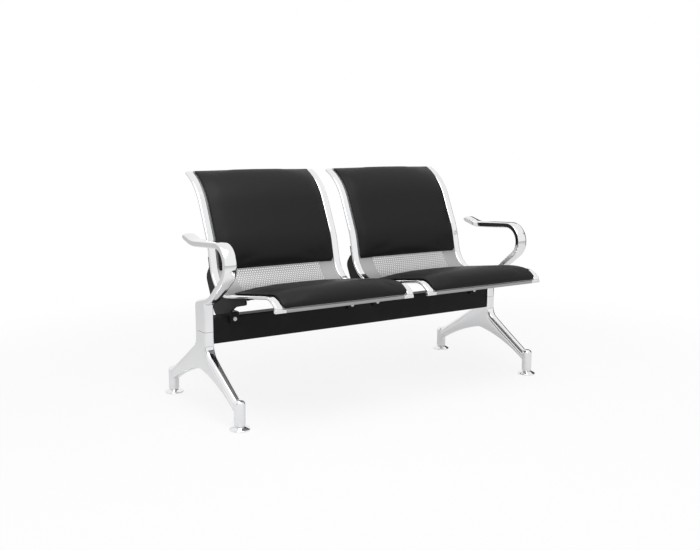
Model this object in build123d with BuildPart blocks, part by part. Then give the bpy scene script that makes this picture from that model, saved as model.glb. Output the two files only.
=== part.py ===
"""Two-seat waiting bench: padded seats on a steel beam, with cast legs and arms.

The bench stands on Z = 0 with its front to -Y. The seats lie side by side along X.
"""

import os
from math import cos, floor, radians, sin, sqrt, tan

from build123d import *

# Layout
SEAT_GAP = 60.0
END_GAP = 45.5
FRONT_FOOT_Y = -219.0
REAR_FOOT_Y = 306.0

# Beam
BEAM_Y = 29.0
BEAM_BOTTOM = 232.0
BEAM_HEIGHT = 90.0
BEAM_DEPTH = 50.0
BEAM_WALL = 2.5
BEAM_CORNER = 5.0

# Seat line, the mid-surface of the bent sheet seen from the side
SEAT_CORNER_Y = 99.0
SEAT_CORNER_Z = 375.5
SEAT_DEPTH = 398.5
SEAT_TILT = 7.5
LIP_RUN = 45.5
LIP_SLOPE = 35.5
FRONT_DROP = 6.0
LUMBAR_RISE = 181.6
LUMBAR_RECLINE = 12.5
BACK_RISE = 224.0
BACK_RECLINE = 24.0
HEAD_RISE = 86.0
HEAD_RECLINE = 66.0
LIP_RADIUS = 9.5
WATERFALL_RADIUS = 70.0
BEND_RADIUS = 110.0
KNEE_RADIUS = 250.0
HEAD_RADIUS = 215.0

# Seat shell, rails and edge bars
SEAT_WIDTH = 530.0
SHEET = 1.5
RAIL_WIDTH = 28.0
RAIL_THICKNESS = 11.0
RAIL_CORNER = 4.5
RAIL_CAP = 3.0
TOE_LENGTH = 39.0
TOE_HEIGHT = 11.0
TOE_PROUD = 2.0
TOE_ROUND = 3.0
BAR_HEIGHT = 11.0
BAR_DEPTH = 14.0
BAR_SETBACK = 1.0
BAR_ROUND = 3.0

# Perforated band in the bend of the shell
HOLE_DIAMETER = 9.0
HOLE_PITCH = 18.0
HOLE_FIELD = 350.0
HOLE_MARGIN = 10.0

# Cushions and their boards
CUSHION_CROWN = 26.0
CUSHION_EDGE = 17.0
CUSHION_DRAW = 3.0
CUSHION_PULL = 2.0
CUSHION_SHOULDER = 9.0
CUSHION_NOSE = 58.0
CUSHION_TIP = 0.4
CUSHION_GAP = 0.4
CUSHION_ROOT = 4.0
CUSHION_SPANS = 24
FRONT_MARGIN = 5.0
SEAT_CUSHION_TO_BEND = 2.0
BACK_CUSHION_IN_BEND = 15.0
HEAD_MARGIN = 16.0
BOARD = 5.0
BOARD_INSET = 14.0

# Brackets
BRACKET_FRONT = 215.0
BRACKET_RISE = 4.0
FLANGE = 4.0
FLANGE_REACH = 34.0
FLANGE_INSET = 1.0
WEB = 8.0
WEB_FRONT_DEPTH = 20.0
WEB_TOP_DEPTH = 22.0
WEB_HEEL_Y = 78.0
WEB_HEEL_RISE = 62.0
WEB_HEEL_RADIUS = 30.0
WEB_BELLY = 60.0
WEB_BELLY_DROP = 8.0
WEB_BELLY_RADIUS = 30.0
WEB_CHIN = 16.0
WEB_CHIN_RADIUS = 12.0
WEB_THROAT = 45.0
WEB_THROAT_RISE = 37.0
WEB_THROAT_RADIUS = 60.0
WEB_ROUND = 8.0
LUG = 10.0
LUG_DROP = 24.0
SADDLE_TOP = 14.0
SADDLE_WIDTH = 34.0
SADDLE_ROUND = 4.0

# Legs
POST_WIDTH = 36.0
POST_DEPTH = 78.0
LIMB_WIDTH = 29.0
LIMB_EDGE = 8.0
ARCH_EDGE = 4.0
FRONT_SHOULDER = 209.0
REAR_SHOULDER = 230.0
SHOULDER_RADIUS = 42.0
FRONT_LIMB_TOP = 84.0
REAR_LIMB_TOP = 88.0
FRONT_TOE = 46.0
REAR_TOE = 44.0
FRONT_ARCH_RISE = 15.0
REAR_ARCH_RISE = 10.0
CROTCH_Y = 47.0
CROTCH_Z = 146.0
CROTCH_RADIUS = 60.0
SOCKET_DIAMETER = 37.0
SOCKET_TOP = 97.0
SOCKET_DOME = 11.0
TONGUE_LENGTH = 60.0
TONGUE_ROOT = 9.0

# Arms
ARM_WIDTH = 43.0
ARM_THICKNESS = 22.0
ARM_EDGE = 6.0
ARM_ROOT_RISE = 96.0
ARM_ROOT_REACH = 73.0
ARM_ROOT_SLOPE = 12.5
ARM_SLOPE = 37.0
ARM_FALL = 3.0
ARM_DIP_Y = 78.0
ARM_DIP_Z = 567.5
ARM_TAIL = 72.0
ARM_TAIL_SLOPE = 15.0
ROOT_RADIUS = 150.0
LOOP_RADIUS = 62.0
DIP_RADIUS = 150.0
ARM_SHOULDER = 26.0
ARM_NOTCH = 6.0
ARM_TIP = 10.0
FLARE_START = 118.0
FLARE_RISE = 60.0
FLARE_RADIUS = 250.0

# Levelling feet
DISC_DIAMETER = 66.0
DISC_RIM = 4.0
DISC_NECK = 30.0
DISC_COLLAR = 3.0
DISC_HOLLOW = 2.0
FOOT_HEIGHT = 16.0
STUD_DIAMETER = 10.0
STUD_SEAT = 5.0
STUD_REACH = 48.0
STUD_ROOM = 2.0

# Fasteners
BOLT = 8.0
BOLT_HEAD = 13.0
BOLT_HEAD_HEIGHT = 5.3
END_BOLT_LENGTH = 25.0
NUT_HEIGHT = 6.5
NUT_TAIL = 3.0
BEAM_BOLT_DROP = 9.5
BRACKET_BOLT_INSET = 13.0
SCREW = 6.0
SCREW_HEAD = 11.0
SCREW_HEAD_HEIGHT = 3.0
SCREW_TIP = 0.5
RAIL_BITE = 8.0
BOARD_SCREW_INSET = 87.0
SEAT_SCREW_INSET = 57.0
BACK_SCREWS = (27.0, 177.0)

# Fits
SLIP = 0.3
HOLE_CLEARANCE = 0.2

sides = {"left": -1, "right": 1}
seat_pitch = SEAT_WIDTH + SEAT_GAP
leg_centres = seat_pitch + SEAT_WIDTH + 2 * END_GAP + ARM_WIDTH
seat_xs = {name: side * seat_pitch / 2 for name, side in sides.items()}
leg_xs = {name: side * leg_centres / 2 for name, side in sides.items()}
foot_ys = {"front": FRONT_FOOT_Y, "rear": REAR_FOOT_Y}
seam_z = BEAM_BOTTOM + BEAM_HEIGHT / 2
beam_top = BEAM_BOTTOM + BEAM_HEIGHT
beam_front = BEAM_Y - BEAM_DEPTH / 2
beam_rear = BEAM_Y + BEAM_DEPTH / 2
beam_end = (leg_centres - POST_WIDTH) / 2
post_front = BEAM_Y - POST_DEPTH / 2
post_rear = BEAM_Y + POST_DEPTH / 2
bolt_hole = BOLT / 2 + HOLE_CLEARANCE
screw_hole = SCREW / 2 + HOLE_CLEARANCE
shell_width = SEAT_WIDTH - 2 * RAIL_WIDTH
rail_offset = (SEAT_WIDTH - RAIL_WIDTH) / 2
disc_height = FOOT_HEIGHT - SLIP

# Directions in the side view, as (Y, Z)
seat_forward = Vector(-cos(radians(SEAT_TILT)), sin(radians(SEAT_TILT)))
seat_down = Vector(-sin(radians(SEAT_TILT)), -cos(radians(SEAT_TILT)))
lip_down = Vector(-cos(radians(LIP_SLOPE)), -sin(radians(LIP_SLOPE)))
lumbar_up = Vector(sin(radians(LUMBAR_RECLINE)), cos(radians(LUMBAR_RECLINE)))
lumbar_rear = Vector(cos(radians(LUMBAR_RECLINE)), -sin(radians(LUMBAR_RECLINE)))
back_up = Vector(sin(radians(BACK_RECLINE)), cos(radians(BACK_RECLINE)))
head_up = Vector(sin(radians(HEAD_RECLINE)), cos(radians(HEAD_RECLINE)))

# Corners of the seat line from the front edge to the head
seat_corner = Vector(SEAT_CORNER_Y, SEAT_CORNER_Z)
front_corner = seat_corner + seat_forward * SEAT_DEPTH
lip_corner = front_corner + lip_down * LIP_RUN
front_edge = lip_corner - Vector(0, FRONT_DROP)
knee = seat_corner + lumbar_up * LUMBAR_RISE
head_corner = knee + back_up * BACK_RISE
head_end = head_corner + head_up * HEAD_RISE
seat_line = [front_edge, lip_corner, front_corner, seat_corner, knee, head_corner, head_end]
seat_radii = [LIP_RADIUS, WATERFALL_RADIUS, BEND_RADIUS, KNEE_RADIUS, HEAD_RADIUS]

# Distances along the seat line from the front edge
lip_turn = radians(90 - LIP_SLOPE)
lip_reach = LIP_RADIUS * tan(lip_turn / 2)
lip_end = FRONT_DROP - lip_reach + LIP_RADIUS * lip_turn
waterfall_turn = radians(LIP_SLOPE + SEAT_TILT)
waterfall_reach = WATERFALL_RADIUS * tan(waterfall_turn / 2)
waterfall_start = lip_end + LIP_RUN - lip_reach - waterfall_reach
waterfall_end = waterfall_start + WATERFALL_RADIUS * waterfall_turn
bend_turn = radians(90 + SEAT_TILT - LUMBAR_RECLINE)
bend_reach = BEND_RADIUS * tan(bend_turn / 2)
bend_start = waterfall_end + SEAT_DEPTH - waterfall_reach - bend_reach
bend_end = bend_start + BEND_RADIUS * bend_turn
seat_cushion_end = bend_start - SEAT_CUSHION_TO_BEND
back_cushion_start = bend_end - BACK_CUSHION_IN_BEND
seat_screw_marks = [waterfall_end + SEAT_SCREW_INSET, bend_start - SEAT_SCREW_INSET]
back_screw_marks = [bend_end + mark for mark in BACK_SCREWS]
bracket_top = bend_reach + BRACKET_RISE


def save(piece, name):
    """Label a finished piece and write it as its own file."""
    piece.part.label = name
    export_step(piece.part, f"parts/{name}.step")


def uphill(degrees):
    """Direction to the front, turned up by the degrees, in the side view."""
    return Vector(-cos(radians(degrees)), sin(radians(degrees)))


def seat_path(x):
    """The seat line as one wire of straight runs and tangent arcs in the plane at x."""
    with BuildLine(Plane.YZ.offset(x)) as line:
        FilletPolyline([(point.X, point.Y) for point in seat_line], radius=seat_radii)
    return line.wires()[0]


def across(path, distance):
    """Plane square to a path at a distance along it, its Y to the left of the path."""
    return Plane(
        origin=path.position_at(distance, position_mode=PositionMode.LENGTH),
        x_dir=(-1, 0, 0),
        z_dir=path.tangent_at(distance, position_mode=PositionMode.LENGTH),
    )


def facing(path, distance, x):
    """Plane on the seat line at x, its Z to the sitting side."""
    here = across(path, distance)
    spot = (x, here.origin.Y, here.origin.Z)
    return Plane(origin=spot, x_dir=(1, 0, 0), z_dir=here.y_dir)


def stretch(path, start, end):
    """The part of a path between two distances along it."""
    first = path.position_at(start, position_mode=PositionMode.LENGTH)
    last = path.position_at(end, position_mode=PositionMode.LENGTH)
    return path.trim(first, last)


def under_seat(forward, upward, depth):
    """Front end, corner and top end of a line that runs at a depth behind the seat line."""
    turn = seat_down + lumbar_rear
    corner = seat_corner + turn * (depth / (1 + seat_down.dot(lumbar_rear)))
    front = seat_corner + seat_forward * forward + seat_down * depth
    top = seat_corner + lumbar_up * upward + lumbar_rear * depth
    return [front, corner, top]


path_length = seat_path(0).length
back_cushion_end = path_length - HEAD_MARGIN


def end_bolt_seats():
    """Seats of the bolts that hold the legs and arms, on the beam's rear face, facing back."""
    x = beam_end - TONGUE_LENGTH / 2
    rise = BEAM_HEIGHT / 4
    return [
        Plane((side * x, beam_rear, seam_z + lift), z_dir=(0, 1, 0))
        for side in sides.values()
        for lift in (-rise, rise)
    ]


def bracket_bolt_seats(seat_x, lug_face, direction):
    """Places of a seat's two bracket bolts on a lug face, facing along the direction."""
    x = rail_offset - BRACKET_BOLT_INSET
    z = beam_top - BEAM_BOLT_DROP
    return [
        Plane((seat_x + side * x, lug_face, z), z_dir=(0, direction, 0))
        for side in sides.values()
    ]


def rail_screw_seats(rail_x):
    """Seats of the two screws of a rail on the outside of its bracket's flange."""
    depth = RAIL_THICKNESS / 2 + FLANGE
    reach = FLANGE_REACH / 2
    front, _, top = under_seat(BRACKET_FRONT + reach, bracket_top + reach, depth)
    return [
        Plane((rail_x, front.X, front.Y), z_dir=(0, seat_down.X, seat_down.Y)),
        Plane((rail_x, top.X, top.Y), z_dir=(0, lumbar_rear.X, lumbar_rear.Y)),
    ]


def board_screw_spots(seat_x, marks):
    """Places of the screws that hold a cushion's board to the shell."""
    path = seat_path(seat_x)
    spread = shell_width / 2 - BOARD_SCREW_INSET
    return [facing(path, mark, seat_x + side * spread) for mark in marks for side in sides.values()]


def beam():
    """Rectangular tube with holes for the bracket bolts and, at the rear, the end bolts."""
    with BuildPart() as tube:
        with BuildSketch(Plane.YZ.offset(-beam_end)):
            with Locations((BEAM_Y, seam_z)):
                RectangleRounded(BEAM_DEPTH, BEAM_HEIGHT, BEAM_CORNER)
                RectangleRounded(
                    BEAM_DEPTH - 2 * BEAM_WALL,
                    BEAM_HEIGHT - 2 * BEAM_WALL,
                    BEAM_CORNER - BEAM_WALL,
                    mode=Mode.SUBTRACT,
                )
        extrude(amount=2 * beam_end)
        for seat_x in seat_xs.values():
            with Locations(*bracket_bolt_seats(seat_x, BEAM_Y, 1)):
                Cylinder(bolt_hole, 2 * BEAM_DEPTH, mode=Mode.SUBTRACT)
        with Locations(*end_bolt_seats()):
            Cylinder(bolt_hole, BEAM_DEPTH, mode=Mode.SUBTRACT)
    return tube


def end_bolts():
    """The four bolts through the beam's rear wall into the tongues of legs and arms."""
    with BuildPart() as bolts:
        with BuildSketch(*end_bolt_seats()):
            RegularPolygon(BOLT_HEAD / 2, 6, major_radius=False)
        extrude(amount=BOLT_HEAD_HEIGHT)
        with BuildSketch(*end_bolt_seats()):
            Circle(BOLT / 2)
        extrude(amount=-END_BOLT_LENGTH)
    return bolts


def tongue(side, upward):
    """Block of a casting that fills half the height of the beam's end, with its bolt hole."""
    depth = BEAM_DEPTH - 2 * (BEAM_WALL + SLIP)
    height = BEAM_HEIGHT - 2 * (BEAM_WALL + SLIP)
    with BuildPart() as block:
        with BuildSketch(Plane.YZ.offset(side * (beam_end - TONGUE_LENGTH))):
            with Locations((BEAM_Y, seam_z)):
                RectangleRounded(depth, height, BEAM_CORNER - BEAM_WALL)
            with Locations((BEAM_Y, seam_z - upward * height / 2)):
                Rectangle(depth, height, mode=Mode.SUBTRACT)
        extrude(amount=side * (TONGUE_LENGTH + TONGUE_ROOT))
        with Locations(*end_bolt_seats()):
            Cylinder(bolt_hole, BEAM_DEPTH, mode=Mode.SUBTRACT)
    return block


def foot_axis(leg_x, foot_y):
    """Upright axis of a foot and the plane through it that its profile is drawn on."""
    axis = Axis((leg_x, foot_y, 0), (0, 0, 1))
    return axis, Plane((leg_x, foot_y, 0), x_dir=(1, 0, 0), z_dir=(0, -1, 0))


def rims(casting, wanted):
    """Long edges of the wanted outline faces, which run across X and end at the flat sides."""
    outline = casting.faces().filter_by(lambda face: abs(face.normal_at().X) < 0.05 and wanted(face))
    return outline.edges().filter_by(lambda edge: abs(edge.tangent_at(0.5).X) < 0.5)


def leg(side):
    """Cast leg: a post at the beam's end that parts into two limbs over an arch."""
    leg_x = side * leg_centres / 2
    post_half = POST_WIDTH / 2
    limb_half = LIMB_WIDTH / 2
    crotch = (CROTCH_Y, CROTCH_Z)
    with BuildPart() as casting:
        with BuildSketch(Plane.YZ.offset(leg_x)):
            with BuildLine():
                top = FilletPolyline(
                    (FRONT_FOOT_Y, FRONT_LIMB_TOP),
                    (post_front, FRONT_SHOULDER),
                    (post_front, seam_z),
                    (post_rear, seam_z),
                    (post_rear, REAR_SHOULDER),
                    (REAR_FOOT_Y, REAR_LIMB_TOP),
                    radius=[SHOULDER_RADIUS, 0, 0, SHOULDER_RADIUS],
                )
                front_arch = SagittaArc(crotch, (FRONT_FOOT_Y, FRONT_TOE), -FRONT_ARCH_RISE)
                rear_arch = SagittaArc(crotch, (REAR_FOOT_Y, REAR_TOE), REAR_ARCH_RISE)
                Line(top @ 0, front_arch @ 1)
                Line(top @ 1, rear_arch @ 1)
            make_face()
        extrude(amount=post_half, both=True)
        folds = casting.edges().filter_by(Axis.X)
        fillet(folds.sort_by_distance((leg_x, CROTCH_Y, CROTCH_Z))[0], CROTCH_RADIUS)
        with BuildSketch(Plane.XZ):
            with BuildLine():
                for way in sides.values():
                    FilletPolyline(
                        (leg_x + way * limb_half, 0),
                        (leg_x + way * limb_half, REAR_TOE),
                        (leg_x + way * post_half, FRONT_SHOULDER),
                        (leg_x + way * post_half, beam_top),
                        radius=FLARE_RADIUS,
                    )
                Line((leg_x - limb_half, 0), (leg_x + limb_half, 0))
                Line((leg_x - post_half, beam_top), (leg_x + post_half, beam_top))
            make_face()
        extrude(amount=2 * REAR_FOOT_Y, both=True, mode=Mode.INTERSECT)
        foot_tops = max(FRONT_LIMB_TOP, REAR_LIMB_TOP)
        fillet(rims(casting, lambda face: face.normal_at().Z < -0.05), ARCH_EDGE)
        uppers = rims(casting, lambda face: face.normal_at().Z > -0.05 and face.center().Z > foot_tops)
        fillet(uppers.filter_by(lambda edge: edge.center().Z < seam_z - SLIP), LIMB_EDGE)
        for foot_y in foot_ys.values():
            axis, plane = foot_axis(leg_x, foot_y)
            with BuildSketch(plane):
                with BuildLine():
                    FilletPolyline(
                        (0, FOOT_HEIGHT),
                        (SOCKET_DIAMETER / 2, FOOT_HEIGHT),
                        (SOCKET_DIAMETER / 2, SOCKET_TOP),
                        (0, SOCKET_TOP),
                        radius=[0, SOCKET_DOME],
                    )
                    Line((0, SOCKET_TOP), (0, FOOT_HEIGHT))
                make_face()
            revolve(axis=axis)
            with BuildSketch(Plane.XY.offset(FOOT_HEIGHT)):
                with Locations((leg_x, foot_y)):
                    Circle(STUD_DIAMETER / 2 + SLIP)
            extrude(amount=STUD_REACH + STUD_ROOM, mode=Mode.SUBTRACT)
        add(tongue(side, -1).part)
    return casting


def arm_corners():
    """Corners of an arm's line: root in the post, bend, nose of the loop, dip of the rest and tip."""
    root = Vector(BEAM_Y, seam_z + ARM_ROOT_RISE)
    bend = root + uphill(ARM_ROOT_SLOPE) * ARM_ROOT_REACH
    dip = Vector(ARM_DIP_Y, ARM_DIP_Z)
    forward = uphill(ARM_SLOPE)
    backward = uphill(180 + ARM_FALL)
    run = (dip - bend).cross(backward).Z / forward.cross(backward).Z
    tip = dip - uphill(-ARM_TAIL_SLOPE) * ARM_TAIL
    return [root, bend, bend + forward * run, dip, tip]


def arm(side):
    """Cast arm: a post on the leg whose rounded shoulder runs out into a looped, flared rest."""
    leg_x = side * leg_centres / 2
    corners = arm_corners()
    slope = tan(radians(ARM_ROOT_SLOPE))
    rise = ARM_THICKNESS / 2 / cos(radians(ARM_ROOT_SLOPE))
    front_top = corners[0].Y + (BEAM_Y - post_front) * slope + rise
    rear_top = corners[0].Y + (BEAM_Y - post_rear) * slope + rise
    flare_z = seam_z + FLARE_START
    flare_top = ARM_DIP_Z + LOOP_RADIUS
    with BuildPart() as casting:
        with BuildSketch(Plane.YZ.offset(leg_x)):
            with BuildLine():
                bends = [ROOT_RADIUS, LOOP_RADIUS, DIP_RADIUS]
                FilletPolyline([(corner.X, corner.Y) for corner in corners], radius=bends)
            trace(line_width=ARM_THICKNESS)
            with BuildLine():
                FilletPolyline(
                    (post_front, seam_z),
                    (post_rear, seam_z),
                    (post_rear, rear_top),
                    (post_front, front_top),
                    radius=[0, ARM_SHOULDER],
                )
                Line((post_front, front_top), (post_front, seam_z))
            make_face()
        extrude(amount=ARM_WIDTH / 2, both=True)
        notch = casting.edges().filter_by(Axis.X).sort_by_distance((leg_x, post_front, front_top - 2 * rise))
        fillet(notch[0], ARM_NOTCH)
        tip = casting.edges().filter_by(Axis.X).sort_by_distance((leg_x, corners[-1].X, corners[-1].Y))
        fillet(tip[:2], ARM_TIP)
        with BuildSketch(Plane.XZ):
            with BuildLine():
                for way in sides.values():
                    FilletPolyline(
                        (leg_x + way * POST_WIDTH / 2, seam_z),
                        (leg_x + way * POST_WIDTH / 2, flare_z),
                        (leg_x + way * ARM_WIDTH / 2, flare_z + FLARE_RISE),
                        (leg_x + way * ARM_WIDTH / 2, flare_top),
                        radius=FLARE_RADIUS,
                    )
                Line((leg_x - POST_WIDTH / 2, seam_z), (leg_x + POST_WIDTH / 2, seam_z))
                Line((leg_x - ARM_WIDTH / 2, flare_top), (leg_x + ARM_WIDTH / 2, flare_top))
            make_face()
        extrude(amount=2 * REAR_FOOT_Y, both=True, mode=Mode.INTERSECT)
        edges = rims(casting, lambda face: face.center().Z > seam_z + SLIP)
        fillet(edges.filter_by(lambda edge: edge.center().Z > seam_z + SLIP), ARM_EDGE)
        add(tongue(side, 1).part)
    return casting


def foot_disc(leg_x, foot_y):
    """Low cone with a hollow flank that stands on the floor, with a blind hole for the stud."""
    axis, plane = foot_axis(leg_x, foot_y)
    rim = DISC_DIAMETER / 2
    neck = DISC_NECK / 2
    collar = disc_height - DISC_COLLAR
    flank = ((rim + neck) / 2, (DISC_RIM + collar) / 2 - DISC_HOLLOW)
    bore = STUD_DIAMETER / 2 + HOLE_CLEARANCE
    with BuildPart() as disc:
        with BuildSketch(plane):
            with BuildLine():
                Polyline((0, STUD_SEAT), (0, 0), (rim, 0), (rim, DISC_RIM))
                ThreePointArc((rim, DISC_RIM), flank, (neck, collar))
                Polyline((neck, collar), (neck, disc_height), (bore, disc_height))
                Polyline((bore, disc_height), (bore, STUD_SEAT), (0, STUD_SEAT))
            make_face()
        revolve(axis=axis)
    return disc


def foot_stud(leg_x, foot_y):
    """Threaded stud, drawn at its outer diameter, that stands in the disc."""
    with BuildPart() as stud:
        with BuildSketch(Plane.XY.offset(STUD_SEAT)):
            with Locations((leg_x, foot_y)):
                Circle(STUD_DIAMETER / 2)
        extrude(amount=FOOT_HEIGHT + STUD_REACH - STUD_SEAT)
        chamfer(stud.faces().sort_by(Axis.Z)[-1].edges(), STUD_DIAMETER / 10)
    return stud


def shell(seat_x):
    """Bent sheet between the rails, with staggered rows of holes in its open band."""
    path = seat_path(seat_x)
    screws = board_screw_spots(seat_x, seat_screw_marks + back_screw_marks)
    row_step = HOLE_PITCH * sqrt(3) / 2
    first = seat_cushion_end + HOLE_MARGIN
    rows = floor((back_cushion_start - HOLE_MARGIN - first) / row_step) + 1
    columns = floor(HOLE_FIELD / HOLE_PITCH)
    holes = []
    for row in range(rows):
        left = seat_x - (columns - 1 - row % 2) * HOLE_PITCH / 2
        spots = range(columns - row % 2)
        holes += [facing(path, first + row * row_step, left + k * HOLE_PITCH) for k in spots]
    with BuildPart() as sheet:
        with BuildSketch(across(path, 0)):
            Rectangle(shell_width, SHEET)
        sweep(path=stretch(path, 0, path_length - BAR_HEIGHT))
        with Locations(*holes):
            Cylinder(HOLE_DIAMETER / 2, 4 * SHEET, mode=Mode.SUBTRACT)
        with Locations(*screws):
            Cylinder(screw_hole, 4 * SHEET, mode=Mode.SUBTRACT)
    return sheet


def rail(rail_x):
    """Flat side rail along the whole seat line, drilled for its two screws."""
    path = seat_path(rail_x)
    with BuildPart() as bar:
        with BuildSketch(across(path, 0)):
            RectangleRounded(RAIL_WIDTH, RAIL_THICKNESS, RAIL_CORNER)
        sweep(path=path)
        with Locations(*rail_screw_seats(rail_x)):
            Cylinder(screw_hole, 2 * (FLANGE + RAIL_BITE + SCREW_TIP), mode=Mode.SUBTRACT)
    return bar


def rail_caps(seat_x):
    """Rounded caps on the top ends of a seat's two rails."""
    with BuildPart() as caps:
        for side in sides.values():
            path = seat_path(seat_x + side * rail_offset)
            with BuildSketch(across(path, path_length)):
                RectangleRounded(RAIL_WIDTH, RAIL_THICKNESS, RAIL_CORNER)
            extrude(amount=RAIL_CAP)
        tops = caps.faces().filter_by(lambda f: f.normal_at().dot(across(path, path_length).z_dir) > 0.99)
        fillet(tops.edges(), RAIL_CAP / 2)
    return caps


def toes(seat_x):
    """Rounded blocks under the front ends of a seat's two rails."""
    depth = RAIL_THICKNESS + TOE_PROUD
    y = front_edge.X - TOE_PROUD / 2
    z = front_edge.Y - TOE_HEIGHT / 2
    x = (SEAT_WIDTH - TOE_LENGTH) / 2
    with BuildPart() as blocks:
        with Locations((seat_x - x, y, z), (seat_x + x, y, z)):
            Box(TOE_LENGTH, depth, TOE_HEIGHT)
        top_rims = blocks.faces().filter_by(Axis.Z).group_by(Axis.Z)[-1].edges()
        fillet([edge for edge in blocks.edges() if edge not in top_rims], TOE_ROUND)
    return blocks


def front_bar(seat_x):
    """Bar between the toes that carries the front edge of the sheet."""
    front = front_edge.X - RAIL_THICKNESS / 2 - TOE_PROUD + BAR_SETBACK
    middle = (seat_x, front + BAR_DEPTH / 2, front_edge.Y - BAR_HEIGHT / 2)
    with BuildPart() as bar:
        with Locations(middle):
            Box(SEAT_WIDTH - 2 * TOE_LENGTH, BAR_DEPTH, BAR_HEIGHT)
        fillet(bar.edges().filter_by(Axis.X), BAR_ROUND)
    return bar


def top_bar(seat_x):
    """Bar between the rails' top ends that carries the head edge of the sheet."""
    path = seat_path(seat_x)
    with BuildPart() as bar:
        with BuildSketch(across(path, path_length - BAR_HEIGHT)):
            Rectangle(shell_width, BAR_DEPTH)
        extrude(amount=BAR_HEIGHT)
        fillet(bar.edges().filter_by(Axis.X), BAR_ROUND)
    return bar


def board(seat_x, start, end, marks, grow=0.0):
    """Thin board in the back of a cushion, bent with the sheet that it lies on."""
    path = seat_path(seat_x)
    width = shell_width - 2 * BOARD_INSET + 2 * grow
    with BuildPart() as panel:
        with BuildSketch(across(path, start - grow)):
            with Locations((0, (SHEET + BOARD + grow) / 2)):
                Rectangle(width, BOARD + grow)
        sweep(path=stretch(path, start - grow, end + grow))
        if not grow:
            with Locations(*board_screw_spots(seat_x, marks)):
                Cylinder(screw_hole, 4 * BOARD, mode=Mode.SUBTRACT)
    return panel


def bed(seat_x, start, end):
    """Room of the sheet under a cushion, with the gap that keeps the two apart."""
    path = seat_path(seat_x)
    with BuildPart() as room:
        with BuildSketch(across(path, start - CUSHION_GAP)):
            with Locations((0, SHEET / 2 + CUSHION_GAP)):
                Rectangle(shell_width, CUSHION_ROOT * 2, align=(Align.CENTER, Align.MAX))
        sweep(path=stretch(path, start - CUSHION_GAP, end + CUSHION_GAP))
    return room


def cushion(seat_x, start, end, recess):
    """Crowned pad lofted along the sheet, drawn in at its sides and thinner at both ends."""
    path = seat_path(seat_x)
    length = end - start
    base = SHEET / 2 - CUSHION_ROOT
    top = SHEET / 2 + CUSHION_GAP
    with BuildPart() as pad:
        for k in range(CUSHION_SPANS + 1):
            station = length * k / CUSHION_SPANS
            inward = min(station, length - station, CUSHION_NOSE) / CUSHION_NOSE
            swell = CUSHION_TIP + (1 - CUSHION_TIP) * sin(radians(90 * inward))
            pull = CUSHION_PULL * sin(radians(180 * station / length))
            half = shell_width / 2 - CUSHION_GAP - pull
            edge = top + CUSHION_EDGE * swell
            shoulder = half - CUSHION_SHOULDER
            foot = half - CUSHION_DRAW
            belly = (base + edge) / 2
            with BuildSketch(across(path, start + station)):
                with BuildLine():
                    Line((-foot, base), (foot, base))
                    ThreePointArc((foot, base), (half, belly), (shoulder, edge))
                    ThreePointArc((shoulder, edge), (0, top + CUSHION_CROWN * swell), (-shoulder, edge))
                    ThreePointArc((-shoulder, edge), (-half, belly), (-foot, base))
                make_face()
        loft()
        add(bed(seat_x, start, end).part, mode=Mode.SUBTRACT)
        add(recess.part, mode=Mode.SUBTRACT)
    return pad


def board_screws(seat_x, marks):
    """Screws from behind the sheet into a cushion's board."""
    with BuildPart() as screws:
        for spot in board_screw_spots(seat_x, marks):
            with BuildSketch(spot.offset(-SHEET / 2)):
                Circle(SCREW_HEAD / 2)
            extrude(amount=-SCREW_HEAD_HEIGHT)
            with BuildSketch(spot.offset(-SHEET / 2)):
                Circle(SCREW / 2)
            extrude(amount=SHEET + BOARD - SCREW_TIP)
    return screws


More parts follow.
